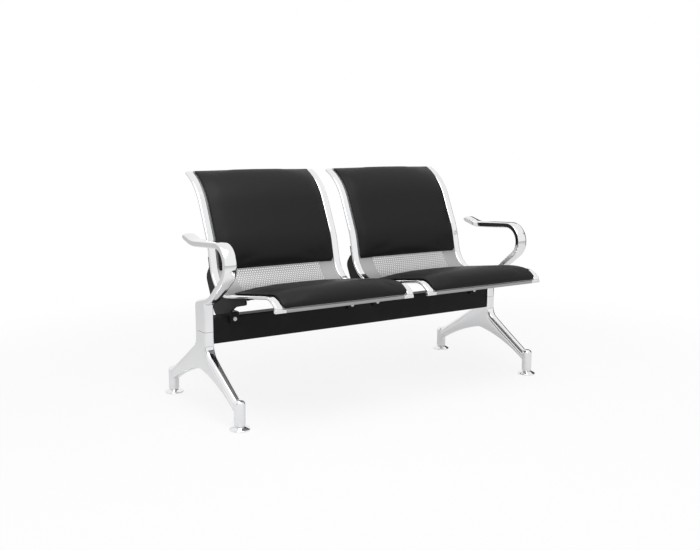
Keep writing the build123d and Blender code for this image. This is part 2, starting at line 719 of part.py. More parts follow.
def bracket(rail_x, inward):
    """Cast bracket: a flange under the rail, a web round the bend and a saddle on the beam."""
    hug = RAIL_THICKNESS / 2
    near = under_seat(BRACKET_FRONT + FLANGE_REACH, bracket_top + FLANGE_REACH, hug)
    far = under_seat(BRACKET_FRONT + FLANGE_REACH, bracket_top + FLANGE_REACH, hug + FLANGE)
    rim = under_seat(BRACKET_FRONT, bracket_top, hug + FLANGE / 2)
    web_radii = [WEB_ROUND, WEB_HEEL_RADIUS, WEB_BELLY_RADIUS, 0, 0]
    web_radii += [WEB_CHIN_RADIUS, WEB_THROAT_RADIUS, WEB_ROUND]
    saddle_x = rail_x + inward * (SADDLE_WIDTH - WEB) / 2
    saddle_z = beam_top + (SADDLE_TOP - LUG_DROP) / 2
    with BuildPart() as casting:
        with BuildSketch(Plane.YZ.offset(rail_x)):
            with BuildLine():
                inner = FilletPolyline(near, radius=[BEND_RADIUS + hug])
                outer = FilletPolyline(far, radius=[BEND_RADIUS + hug + FLANGE])
                Line(inner @ 0, outer @ 0)
                Line(inner @ 1, outer @ 1)
            make_face()
        extrude(amount=RAIL_WIDTH / 2 - FLANGE_INSET, both=True)
        with BuildSketch(Plane.YZ.offset(rail_x)):
            with BuildLine():
                FilletPolyline(rim, radius=[BEND_RADIUS + hug + FLANGE / 2])
                FilletPolyline(
                    rim[2],
                    rim[2] + lumbar_rear * WEB_TOP_DEPTH,
                    (SEAT_CORNER_Y + WEB_HEEL_Y, SEAT_CORNER_Z + WEB_HEEL_RISE),
                    (beam_rear + WEB_BELLY, beam_top - WEB_BELLY_DROP),
                    (beam_rear + LUG, beam_top - LUG_DROP),
                    (beam_front - LUG, beam_top - LUG_DROP),
                    (beam_front - LUG, beam_top + WEB_CHIN),
                    (beam_front - WEB_THROAT, beam_top + WEB_THROAT_RISE),
                    rim[0] + seat_down * WEB_FRONT_DEPTH,
                    rim[0],
                    radius=web_radii,
                )
            make_face()
        extrude(amount=WEB / 2, both=True)
        with BuildSketch(Plane.YZ.offset(saddle_x)):
            with Locations((BEAM_Y, saddle_z)):
                RectangleRounded(BEAM_DEPTH + 2 * LUG, LUG_DROP + SADDLE_TOP, SADDLE_ROUND)
        extrude(amount=SADDLE_WIDTH / 2, both=True)
        with Locations((saddle_x, BEAM_Y, seam_z)):
            Box(2 * SADDLE_WIDTH, BEAM_DEPTH, BEAM_HEIGHT, mode=Mode.SUBTRACT)
        with Locations(*bracket_bolt_seats(rail_x + inward * rail_offset, BEAM_Y, 1)):
            Cylinder(bolt_hole, 4 * BEAM_DEPTH, mode=Mode.SUBTRACT)
        with Locations(*rail_screw_seats(rail_x)):
            Cylinder(screw_hole, 4 * FLANGE, mode=Mode.SUBTRACT)
    return casting


def bracket_bolts(seat_x):
    """Bolts from the brackets' front lugs through the beam to their rear lugs."""
    seats = bracket_bolt_seats(seat_x, beam_front - LUG, -1)
    with BuildPart() as bolts:
        with BuildSketch(*seats):
            RegularPolygon(BOLT_HEAD / 2, 6, major_radius=False)
        extrude(amount=BOLT_HEAD_HEIGHT)
        with BuildSketch(*seats):
            Circle(BOLT / 2)
        extrude(amount=-(BEAM_DEPTH + 2 * LUG + NUT_HEIGHT + NUT_TAIL))
    return bolts


def bracket_nuts(seat_x):
    """Nuts of the bracket bolts, on the rear lugs."""
    with BuildPart() as nuts:
        with BuildSketch(*bracket_bolt_seats(seat_x, beam_rear + LUG, 1)):
            RegularPolygon(BOLT_HEAD / 2, 6, major_radius=False)
            Circle(BOLT / 2 + HOLE_CLEARANCE / 2, mode=Mode.SUBTRACT)
        extrude(amount=NUT_HEIGHT)
    return nuts


def rail_screws(seat_x):
    """Screws through the bracket flanges into a seat's two rails."""
    with BuildPart() as screws:
        for side in sides.values():
            for seat in rail_screw_seats(seat_x + side * rail_offset):
                with BuildSketch(seat):
                    Circle(SCREW_HEAD / 2)
                extrude(amount=SCREW_HEAD_HEIGHT)
                with BuildSketch(seat):
                    Circle(SCREW / 2)
                extrude(amount=-(FLANGE + RAIL_BITE))
    return screws


def save_seat(name, seat_x):
    """Write every piece of one seat unit."""
    save(shell(seat_x), f"{name}_seat_shell")
    save(rail_caps(seat_x), f"{name}_seat_rail_caps")
    save(toes(seat_x), f"{name}_seat_toes")
    save(front_bar(seat_x), f"{name}_seat_front_bar")
    save(top_bar(seat_x), f"{name}_seat_top_bar")
    save(bracket_bolts(seat_x), f"{name}_seat_bracket_bolts")
    save(bracket_nuts(seat_x), f"{name}_seat_bracket_nuts")
    save(rail_screws(seat_x), f"{name}_seat_rail_screws")
    for side_name, side in sides.items():
        rail_x = seat_x + side * rail_offset
        save(rail(rail_x), f"{name}_seat_{side_name}_rail")
        save(bracket(rail_x, -side), f"{name}_seat_{side_name}_bracket")
    pads = {
        "seat": (FRONT_MARGIN, waterfall_end, seat_cushion_end, seat_screw_marks),
        "back": (back_cushion_start, back_cushion_start, back_cushion_end, back_screw_marks),
    }
    for pad_name, (start, flat_start, end, marks) in pads.items():
        board_start = flat_start + BOARD_INSET
        board_end = end - BOARD_INSET
        recess = board(seat_x, board_start, board_end, marks, grow=HOLE_CLEARANCE)
        save(board(seat_x, board_start, board_end, marks), f"{name}_{pad_name}_board")
        save(cushion(seat_x, start, end, recess), f"{name}_{pad_name}_cushion")
        save(board_screws(seat_x, marks), f"{name}_{pad_name}_board_screws")


os.makedirs("parts", exist_ok=True)
save(beam(), "beam")
save(end_bolts(), "end_bolts")
for name, side in sides.items():
    save(leg(side), f"{name}_leg")
    save(arm(side), f"{name}_arm")
    save_seat(name, seat_xs[name])
    for end_name, foot_y in foot_ys.items():
        save(foot_disc(leg_xs[name], foot_y), f"{end_name}_{name}_foot_disc")
        save(foot_stud(leg_xs[name], foot_y), f"{end_name}_{name}_foot_stud")
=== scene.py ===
"""Visible pieces of a two-seat waiting bench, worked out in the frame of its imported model.

Lengths are in metres: X runs along the bench, Y to its back and Z up. A side view is (Y, Z).
"""

import bmesh
import bpy
import numpy as np
from bpy.props import FloatProperty, FloatVectorProperty, PointerProperty
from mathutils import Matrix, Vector


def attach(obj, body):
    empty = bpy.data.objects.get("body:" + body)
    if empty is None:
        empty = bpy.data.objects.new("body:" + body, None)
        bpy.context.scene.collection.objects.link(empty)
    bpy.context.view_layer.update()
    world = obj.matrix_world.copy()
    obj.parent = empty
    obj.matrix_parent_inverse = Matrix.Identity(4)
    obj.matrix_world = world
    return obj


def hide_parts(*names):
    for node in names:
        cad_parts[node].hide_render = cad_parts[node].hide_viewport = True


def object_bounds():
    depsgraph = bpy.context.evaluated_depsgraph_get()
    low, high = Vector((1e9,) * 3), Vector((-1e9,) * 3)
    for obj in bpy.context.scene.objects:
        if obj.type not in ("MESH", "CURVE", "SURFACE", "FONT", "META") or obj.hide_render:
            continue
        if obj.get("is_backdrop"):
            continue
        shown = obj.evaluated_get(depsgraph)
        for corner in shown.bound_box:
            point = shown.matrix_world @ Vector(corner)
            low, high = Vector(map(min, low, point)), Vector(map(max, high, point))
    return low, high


bl_info = {
    "name": "Waiting bench",
    "version": (1, 0, 0),
    "blender": (4, 5, 0),
    "location": "View3D > Sidebar > Bench",
    "description": "Builds the visible pieces of a two-seat waiting bench",
    "category": "Add Mesh",
}

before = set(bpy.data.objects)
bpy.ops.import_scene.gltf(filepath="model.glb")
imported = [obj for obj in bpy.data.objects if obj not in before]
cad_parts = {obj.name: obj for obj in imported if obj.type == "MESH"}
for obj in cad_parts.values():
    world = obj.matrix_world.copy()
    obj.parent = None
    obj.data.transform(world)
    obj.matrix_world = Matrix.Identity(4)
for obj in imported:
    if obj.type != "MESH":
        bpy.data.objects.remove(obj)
cad_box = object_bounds()

SIDES = {"left": -1.0, "right": 1.0}
FOOT_Y = {"front": -0.219, "rear": 0.306}
RIM_STEPS = 9
WELD = 1e-5
WHITE = (1.0, 1.0, 1.0, 1.0)
CARD_BLACK = (0.02, 0.02, 0.02, 1.0)

# Post of a leg and arm in the side view: its front and rear faces and the seam between leg and arm
POST = (-0.010, 0.068)
POST_MIDDLE = 0.029
SEAM = 0.277
SEAM_GAP = 0.0005

# Bars along the front and top edges of a seat
TOE_LENGTH = 0.039
EDGE_HEIGHT = 0.011


def length(name, description, default):
    """A property for a size in metres."""
    return FloatProperty(name=name, description=description, default=default, unit="LENGTH", precision=4)


def colour(name, description, default):
    """A property for a colour in linear light."""
    return FloatVectorProperty(
        name=name, description=description, default=default, size=3, min=0.0, max=1.0, subtype="COLOR"
    )


def factor(name, description, default):
    """A property for a share or a plain level."""
    return FloatProperty(name=name, description=description, default=default, min=0.0)


class BenchSizes(bpy.types.PropertyGroup):
    """Sizes that the pieces are drawn from."""

    seat_pitch: length("Seat pitch", "Distance between the middles of the two seats", 0.590)
    seat_width: length("Seat width", "Width of a seat over its rails", 0.530)
    rail_width: length("Rail width", "Width of a side rail", 0.028)
    rail_thickness: length("Rail thickness", "Thickness of a side rail", 0.011)
    rail_corner: length("Rail corner", "Corner radius of a side rail", 0.0045)
    sheet: length("Sheet", "Thickness of the bent sheet", 0.0015)
    hole: length("Hole", "Diameter of a hole in the perforated band", 0.0058)
    hole_pitch: length("Hole pitch", "Distance between neighbouring holes", 0.0095)
    hole_field: length("Hole field", "Width of the perforated field", 0.352)
    crown: length("Crown", "Thickness of a cushion in its middle", 0.0235)
    border: length("Border", "Thickness of a cushion along its sides", 0.0165)
    swell: length("Swell", "Most that the stuffing pushes the cover out", 0.005)
    leg_centres: length("Leg centres", "Distance between the two legs", 1.254)
    post_width: length("Post width", "Width of the posts along the bench", 0.036)
    limb_width: length("Limb width", "Width of the limbs at the feet", 0.029)
    arm_width: length("Arm width", "Width of the arm rests", 0.043)
    arm_thickness: length("Arm thickness", "Thickness of the arm rests", 0.022)


class BenchFinishes(bpy.types.PropertyGroup):
    """Colours of the finishes."""

    chrome: colour("Chrome", "Colour of the polished castings and rails", (0.83, 0.835, 0.845))
    silver: colour("Silver paint", "Colour of the painted sheet", (0.37, 0.37, 0.375))
    coat: colour("Black coat", "Colour of the coated beam and brackets", (0.0095, 0.0095, 0.010))
    leather: colour("Leather", "Colour of the cushions' cover", (0.0115, 0.0115, 0.012))
    zinc: colour("Zinc", "Colour of the bolts and screws", (0.55, 0.56, 0.57))
    plywood: colour("Plywood", "Colour of the boards in the cushions", (0.46, 0.30, 0.16))


class BenchStage(bpy.types.PropertyGroup):
    """Camera and light."""

    eye: FloatVectorProperty(
        name="Eye", description="Place of the camera", default=(-1.8675, -2.7003, 0.9056), unit="LENGTH"
    )
    target: FloatVectorProperty(
        name="Target",
        description="Point that the camera looks at",
        default=(0.0, 0.091, 0.4054),
        unit="LENGTH",
    )
    lens: FloatProperty(name="Lens", description="Focal length in millimetres", default=46.34)
    ambient: factor("Ambient", "Level of the light from all around", 0.45)
    key: factor("Key", "Power of the large lamp overhead, in watts", 75.0)
    fill: factor("Fill", "Power of the lamp at the right, in watts", 12.0)
    floor: colour("Floor", "Colour of the floor", (0.80, 0.80, 0.80))


class BenchSettings(bpy.types.PropertyGroup):
    """Everything that a user would change."""

    sizes: PointerProperty(type=BenchSizes, name="Sizes", description="Sizes of the pieces")
    finishes: PointerProperty(type=BenchFinishes, name="Finishes", description="Colours of the finishes")
    stage: PointerProperty(type=BenchStage, name="Stage", description="Camera and light")


def settings():
    """The bench's settings in the open scene."""
    return bpy.context.scene.waiting_bench


# Lines in the side view


class SideLine:
    """Line of straight runs and tangent arcs, walked by the distance from its start.

    A run or arc has a start point, a heading a and a curvature k. The point at distance l into it is the
    start plus the chord l * sinc(k l / 2) along the heading a + k l / 2, which is exact for k = 0 too.
    """

    def __init__(self, corners, radii):
        corners = np.asarray(corners, float)
        radii = np.asarray(radii, float)
        steps = np.diff(corners, axis=0)
        headings = np.arctan2(steps[:, 1], steps[:, 0])
        turns = (np.diff(headings) + np.pi) % (2 * np.pi) - np.pi
        reach = radii * np.tan(np.abs(turns) / 2)
        count = 2 * len(steps) - 1
        self.spans = np.zeros(count)
        self.spans[0::2] = np.linalg.norm(steps, axis=1) - np.r_[0, reach] - np.r_[reach, 0]
        self.spans[1::2] = radii * np.abs(turns)
        self.curves = np.zeros(count)
        self.curves[1::2] = np.divide(np.sign(turns), radii, out=np.zeros_like(turns), where=radii > 0)
        self.headings = np.zeros(count)
        self.headings[0::2] = headings
        self.headings[1::2] = headings[:-1]
        self.starts = np.r_[0, np.cumsum(self.spans)]
        moves = self.chord(np.arange(count), self.spans)
        self.points = corners[0] + np.r_[np.zeros((1, 2)), np.cumsum(moves, axis=0)]
        self.length = self.starts[-1]
        self.middles = self.starts[1:-1:2] + self.spans[1::2] / 2

    def chord(self, span, into):
        """Move from the start of a span to a distance into it."""
        half_turn = self.curves[span] * into / 2
        heading = self.headings[span] + half_turn
        reach = into * np.sinc(half_turn / np.pi)
        return reach[..., None] * np.stack([np.cos(heading), np.sin(heading)], -1)

    def walk(self, distance):
        """Points at distances along the line, and the directions to its left there."""
        distance = np.asarray(distance, float)
        span = np.clip(np.searchsorted(self.starts, distance, "right") - 1, 0, len(self.spans) - 1)
        into = distance - self.starts[span]
        heading = self.headings[span] + self.curves[span] * into
        left = np.stack([-np.sin(heading), np.cos(heading)], -1)
        return self.points[span] + self.chord(span, into), left

    def stations(self, step=0.02, turn=0.05):
        """Distances to draw the line at, close enough for its runs and for the turn of its arcs."""
        need = np.maximum(self.spans / step, np.abs(self.curves) * self.spans / turn)
        count = np.ceil(need).astype(int) + 1
        marks = [np.linspace(a, b, n) for a, b, n in zip(self.starts, self.starts[1:], count)]
        return np.unique(np.concatenate(marks).round(7))


def seat_line():
    """Side view of a seat: front drop, lip, seat, lumbar, back and head runs, joined by arcs."""
    tilt, slope, lumbar, back, head = np.radians([7.5, 35.5, 12.5, 24.0, 66.0])
    front_drop = np.array([0.0, 0.006])
    lip_run, seat_run, lumbar_run, back_run, head_run = 0.0455, 0.3985, 0.1816, 0.224, 0.086
    corner = np.array([0.099, 0.3755])
    front = corner + seat_run * np.array([-np.cos(tilt), np.sin(tilt)])
    lip = front - lip_run * np.array([np.cos(slope), np.sin(slope)])
    knee = corner + lumbar_run * np.array([np.sin(lumbar), np.cos(lumbar)])
    crest = knee + back_run * np.array([np.sin(back), np.cos(back)])
    end = crest + head_run * np.array([np.sin(head), np.cos(head)])
    radii = [0.0095, 0.070, 0.110, 0.250, 0.215]
    return SideLine([lip - front_drop, lip, front, corner, knee, crest, end], radii)


def seat_bend(line):
    """Distances along the seat line at which the arc between seat and lumbar starts and ends."""
    return line.starts[5], line.starts[6]


def lay_on(line, x, distance, lift):
    """Points at x, a distance along a side line and a lift to its left, as one array."""
    point, left = line.walk(distance)
    side = point + left * np.asarray(lift)[..., None]
    return np.stack(np.broadcast_arrays(x, side[..., 0], side[..., 1]), -1)


def besides(corners, distance):
    """Corners of a polyline moved to its left: each is the cut of its two moved neighbours."""
    corners = np.asarray(corners, float)
    steps = np.diff(corners, axis=0)
    steps /= np.linalg.norm(steps, axis=1)[:, None]
    left = np.stack([-steps[:, 1], steps[:, 0]], -1)
    before = np.r_[left[:1], left]
    after = np.r_[left, left[-1:]]
    share = 1 + np.sum(before * after, axis=1)
    return corners + distance * (before + after) / share[:, None]


# Skins


def quad_grid(rows, columns, wrap=False):
    """Corner indices of the quads of a grid of points, row by row, closed along its columns if wrapped."""
    row = np.arange(rows - 1)[:, None] * columns
    column = np.arange(columns if wrap else columns - 1)[None, :]
    following = (column + 1) % columns
    quads = [row + column, row + following, row + columns + following, row + columns + column]
    return np.stack(quads, -1).reshape(-1, 4)


def tube(rings):
    """Closed skin over rings of points: quads between neighbouring rings and one face on each end."""
    stations, around = rings.shape[:2]
    quads = quad_grid(stations, around, wrap=True).tolist()
    ends = [list(range(around)), list(range((stations - 1) * around, stations * around))]
    return rings.reshape(-1, 3), quads + ends


def make_piece(name, skins, finish, slot, nodes, body="bench", crease=50.0):
    """One mesh object from skins, welded and facing outwards, that stands for CAD nodes on a body."""
    made = bmesh.new()
    for points, faces in skins:
        part = bpy.data.meshes.new(name)
        part.from_pydata(points, [], faces)
        made.from_mesh(part)
        bpy.data.meshes.remove(part)
    bmesh.ops.remove_doubles(made, verts=made.verts, dist=WELD)
    bmesh.ops.recalc_face_normals(made, faces=made.faces)
    mesh = bpy.data.meshes.new(name)
    made.to_mesh(mesh)
    made.free()
    return place(name, mesh, finish, slot, nodes, body, crease)


def place(name, mesh, finish, slot, nodes, body="bench", crease=50.0):
    """Show a mesh as a piece with its finish, smooth but for creases sharper than an angle."""
    mesh.shade_smooth()
    mesh.set_sharp_from_angle(angle=np.radians(crease))
    mesh.materials.clear()
    mesh.materials.append(finish)
    piece = bpy.data.objects.new(name, mesh)
    bpy.context.scene.collection.objects.link(piece)
    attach(piece, body)
    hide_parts(*nodes)
    return piece


def applied(piece):
    """The piece's mesh as its modifiers leave it."""
    bpy.context.view_layer.update()
    shown = piece.evaluated_get(bpy.context.evaluated_depsgraph_get())
    return bpy.data.meshes.new_from_object(shown)


def rounded_loops(half_width, half_height, corner):
    """Outlines of round-cornered rectangles, one per station, with points on the flats near each corner.

    A corner is a quarter circle of the corner radius about the point that lies that far inside both sides.
    """
    half = np.stack(np.broadcast_arrays(half_width, half_height, corner), -1).reshape(-1, 1, 1, 3)
    turn = np.linspace(0, np.pi / 2, RIM_STEPS) + np.arange(4)[:, None] * np.pi / 2
    ways = np.sign(np.stack([np.cos(turn[:, 3:4]), np.sin(turn[:, 3:4])], -1))
    radius = half[..., 2:]
    arcs = ways * (half[..., :2] - radius) + radius * np.stack([np.cos(turn), np.sin(turn)], -1)
    first = np.roll(arcs[:, :, :1], -1, axis=1)
    last = arcs[:, :, -1:]
    share = np.array([0.05, 0.5, 0.95])[:, None]
    flats = last + (first - last) * share
    return np.concatenate([arcs, flats], axis=2).reshape(len(half), -1, 2)


def end_inset(distance, radius):
    """How far a round end has drawn in at a distance from its tip: a quarter circle of the radius."""
    near = np.clip(1 - distance / radius, 0, 1)
    return radius * (1 - np.sqrt(1 - near**2))


def end_marks(radius):
    """Distances from a tip at which its quarter circle is drawn, evenly by angle."""
    return radius * (1 - np.cos(np.linspace(0, np.pi / 2, RIM_STEPS)))


def bar_along_x(x_start, x_end, y, z, depth, height, corner, end_round):
    """Straight bar with a round-cornered section and round ends, its section drawn in towards each tip."""
    marks = np.r_[x_start + end_marks(end_round), x_end - end_marks(end_round)[::-1]]
    drawn = end_inset(np.minimum(marks - x_start, x_end - marks), end_round)
    radius = np.maximum(corner - drawn, corner * 0.25)
    loops = rounded_loops(depth / 2 - drawn, height / 2 - drawn, radius)
    x = np.broadcast_to(marks[:, None], loops.shape[:2])
    return tube(np.stack([x, y + loops[..., 0], z + loops[..., 1]], -1))


def turned(profile, x, y, around=72):
    """Body of revolution: each (radius, height) of a profile carried round an upright axis."""
    profile = np.asarray(profile, float)
    angle = np.linspace(0, 2 * np.pi, around, endpoint=False)
    radius = profile[:, :1]
    rings = np.stack(
        np.broadcast_arrays(x + radius * np.cos(angle), y + radius * np.sin(angle), profile[:, 1:]), -1
    )
    return rings.reshape(-1, 3), quad_grid(len(profile), around, wrap=True).tolist()


# Castings between two contours


def between(marks, counts):
    """Distances that crowd towards the marks: cosine steps from each mark to the next."""
    spans = [
        a + (b - a) * (1 - np.cos(np.pi * np.arange(count) / count)) / 2
        for a, b, count in zip(marks, marks[1:], counts)
    ]
    return np.concatenate([*spans, [marks[-1]]])


def rim(contour, inward, radius, spread):
    """Rows of a round rim, a quarter ellipse: at angle t they lie radius * (1 - cos t) inside the contour.

    Also returns how far each row lies inside the side face, which is spread * (1 - sin t).
    """
    turn = np.linspace(0, np.pi / 2, RIM_STEPS)
    radius = np.broadcast_to(radius, len(contour))[:, None]
    spread = np.broadcast_to(spread, len(contour))[:, None]
    depth = radius * (1 - np.cos(turn))
    return contour[:, None] + inward[:, None] * depth[..., None], spread * (1 - np.sin(turn))


def casting(x, outer, outer_drop, inner, inner_drop, half_width, bulge=0.0, crown=0.0, flute=0.0):
    """Skin of a casting whose stations go round an outer rim, a side, an inner rim and back.

    The half width is a function of the side view's points. The sides are ruled from rim to rim and
    stand out by the bulge halfway, and the faces of the two contours stand out by the crown, both as
    parabolas. A flute below the outer rim is half a sine wave deep into the side.
    """
    share = np.array([0.04, 0.2, 0.4, 0.6, 0.8, 0.96])
    across = np.array([-0.96, -0.6, -0.2, 0.2, 0.6, 0.96])
    outer_half = half_width(outer) - outer_drop
    inner_half = half_width(inner) - inner_drop
    reach = inner[:, -1:] - outer[:, -1:]
    groove = np.linspace(0, 1, 9)[1:]
    flute_width = 0.0042
    wide = np.minimum(flute_width / np.linalg.norm(reach, axis=-1, keepdims=True), 0.3)
    start = outer[:, -1:] + reach * wide * groove[:, None]
    start_half = half_width(start) - np.reshape(flute, (-1, 1)) * np.sin(np.pi * groove)
    outer = np.concatenate([outer, start], axis=1)
    outer_half = np.concatenate([outer_half, start_half], axis=1)
    side = outer[:, -1:] + (inner[:, -1:] - outer[:, -1:]) * share[:, None]
    side_half = half_width(side) + bulge * 4 * share * (1 - share)
    lift = crown * (1 - across**2)[:, None]
    thick = outer[:, :1] - inner[:, :1]
    thick = thick / np.linalg.norm(thick, axis=-1, keepdims=True)
    outer_face = outer[:, :1] + thick * lift
    inner_face = inner[:, :1] - thick * lift
    views = [outer_face, outer, side, inner[:, ::-1], inner_face, inner, side[:, ::-1], outer[:, ::-1]]
    halves = [
        outer_half[:, :1] * across,
        outer_half,
        side_half,
        inner_half[:, ::-1],
        -inner_half[:, :1] * across,
        -inner_half,
        -side_half[:, ::-1],
        -outer_half[:, ::-1],
    ]
    view = np.concatenate(views, axis=1)
    return tube(np.concatenate([x + np.concatenate(halves, axis=1)[..., None], view], axis=-1))


def smooth_step(value, start, end):
    """Share of the way from start to end, eased at both ends."""
    share = np.clip((value - start) / (end - start), 0, 1)
    return share * share * (3 - 2 * share)


def leg_skin(x, sizes):
    """Leg from its front foot over the post's top to its rear foot, between its top and its arch.

    Towards the post's top the rim follows the post's upright edges, and the rows turn into the corners.
    """
    seat = SEAM - SEAM_GAP
    front_y, rear_y = FOOT_Y.values()
    post_corners = [(POST[0], 0.209), (POST[0], seat), (POST[1], seat), (POST[1], 0.230)]
    top_line = SideLine([(front_y, 0.084), *post_corners, (rear_y, 0.088)], [0.042, 0.0, 0.0, 0.042])
    arch_corners = [(-0.0967, 0.1244), (0.047, 0.146), (0.1839, 0.1137)]
    arch_line = SideLine([(front_y, 0.046), *arch_corners, (rear_y, 0.044)], [0.620, 0.060, 0.880])
    counts = [44, 26, 30, 24, 46]
    top_marks = np.r_[0, top_line.middles, top_line.length]
    crotch = arch_line.middles[1]
    arch_marks = np.r_[0, crotch + np.array([-0.020, -0.006, 0.006, 0.020]), arch_line.length]
    distance = between(top_marks, counts)
    top, left = top_line.walk(distance)
    arch, arch_left = arch_line.walk(between(arch_marks, counts))
    front_corner, rear_corner = top_marks[2:4]
    on_seam = (distance >= front_corner) & (distance <= rear_corner)
    limb_rim, post_rim, arch_rim = 0.0142, 0.0095, 0.006
    radius = limb_rim + (post_rim - limb_rim) * smooth_step(top[:, 1], 0.150, 0.240)
    inward = -left
    inward[on_seam] = (0, -1)
    to_corner = np.minimum(np.abs(distance - front_corner), np.abs(distance - rear_corner))
    near = np.clip(1 - to_corner / radius, 0, 1)
    above_shoulders = 0.235
    upright = (top[:, 1] > above_shoulders) & ~on_seam
    inward[upright, 1] -= near[upright]
    inward[on_seam, 0] += near[on_seam] * np.sign(POST_MIDDLE - top[on_seam, 0])
    rows, drop = rim(top, inward, radius, radius)
    inside = np.minimum(rows[..., 0] - POST[0], POST[1] - rows[..., 0])
    share = np.clip(1 - inside / radius[:, None], 0, 1)
    drop = np.where(on_seam[:, None], radius[:, None] * (1 - np.sqrt(1 - share**2)), drop)
    arch_rows, arch_drop = rim(arch, arch_left, arch_rim, arch_rim)
    taper = (sizes.post_width - sizes.limb_width) / 2

    def half_width(view):
        return sizes.limb_width / 2 + taper * smooth_step(view[..., 1], 0.030, 0.222)

    flute_depth = 0.0016
    flute = flute_depth * (1 - smooth_step(top[:, 1], 0.175, 0.225))
    return casting(x, rows, drop, arch_rows, arch_drop, half_width, bulge=0.0012, flute=flute)


def socket_skin(x, y):
    """Upright socket of a foot: a straight wall on a rounded edge, with a quarter ellipse as its dome."""
    radius = 0.0185
    turn = np.linspace(0, np.pi / 2, 14)
    dome = np.stack([radius - 0.014 * (1 - np.cos(turn)), 0.084 + 0.013 * np.sin(turn)], -1)
    edge = [(0, 0.0163), (0.0170, 0.0163), (0.0181, 0.0168)]
    wall = [(radius, 0.018), (radius, 0.019), (radius, 0.060), (radius, 0.083)]
    cap = [(0.002, 0.0973), (0, 0.0973)]
    return turned(np.r_[edge, wall, dome, cap], x, y)


def arm_skin(x, sizes):
    """Arm from its seat on the leg, over its shoulder and round its loop, to the tip of the rest."""
    half = sizes.arm_thickness / 2
    root = [(POST_MIDDLE, 0.373), (-0.0423, 0.3888)]
    middle = [*root, (-0.30616, 0.58763), (0.078, 0.5675), (0.14755, 0.58613)]
    slope = (middle[1][1] - middle[0][1]) / (middle[1][0] - middle[0][0])
    notch_radius, shoulder_radius = 0.006, 0.026
    root_radius, loop_radius, dip_radius = 0.150, 0.062, 0.150
    contours = []
    for way, edge, corner in ((1, POST[0], notch_radius), (-1, POST[1], shoulder_radius)):
        moved = besides(middle, way * half)
        turn_in = (edge, moved[0][1] + (edge - moved[0][0]) * slope)
        radii = [corner, root_radius + way * half, loop_radius + way * half, dip_radius - way * half]
        contours.append(SideLine([(edge, SEAM + SEAM_GAP), turn_in, *moved[1:]], radii))
    outer_line, inner_line = contours
    counts = [30, 34, 48, 48, 30]
    tip_round, tip_narrowing = 0.0105, 0.012
    views = []
    for line, way in ((outer_line, -1), (inner_line, 1)):
        distance = between(np.r_[0, line.middles, line.length], counts)
        view, left = line.walk(distance)
        drawn = end_inset(line.length - distance, tip_round)
        views.append((view + way * left * drawn[:, None], way * left, line.length - distance))
    (outer, outer_in, to_tip), (inner, inner_in, _) = views
    narrow = end_inset(to_tip, tip_narrowing)[:, None]
    full = smooth_step(outer[:, 1], 0.320, 0.420)
    post_rim, loop_rim, loop_spread, most = 0.0095, 0.0042, 0.0110, 0.0108
    radius = np.minimum(post_rim + (loop_rim - post_rim) * full, most - end_inset(to_tip, tip_round))
    spread = post_rim + (loop_spread - post_rim) * full
    rows, drop = rim(outer, outer_in, radius, spread)
    inner_rows, inner_drop = rim(inner, inner_in, radius, spread)
    flare = (sizes.arm_width - sizes.post_width) / 2

    def half_width(view):
        return sizes.post_width / 2 + flare * smooth_step(view[..., 1], 0.385, 0.470)

    return casting(x, rows, drop + narrow, inner_rows, inner_drop + narrow, half_width, crown=0.0008)


# Seats

PAD_ROOM = 0.0035
PAD_GAP = 0.0004
BAR_LIFT = 0.0062
BAR_THINNING = 0.62
NOSE_POWER = 2.4
SECTION_POWER = 0.34
SKIN_STEP = 0.005
COVER_PRESSURE = 4.0
COVER_FRAMES = 20
EVEN_ROUNDS = 30
EVEN_SHARE = 0.9


def rail_skin(line, x, sizes):
    """Side rail: a round-cornered section carried along the seat line, with a rounded head end."""
    cap = 0.003
    marks = np.r_[line.stations()[:-1], line.length + cap - end_marks(cap)[::-1]]
    drawn = end_inset(line.length + cap - marks, cap)
    corner = np.maximum(sizes.rail_corner - drawn, 0.002)
    loops = rounded_loops(sizes.rail_width / 2 - drawn, sizes.rail_thickness / 2 - drawn, corner)
    return tube(lay_on(line, x - loops[..., 0], marks[:, None], loops[..., 1]))


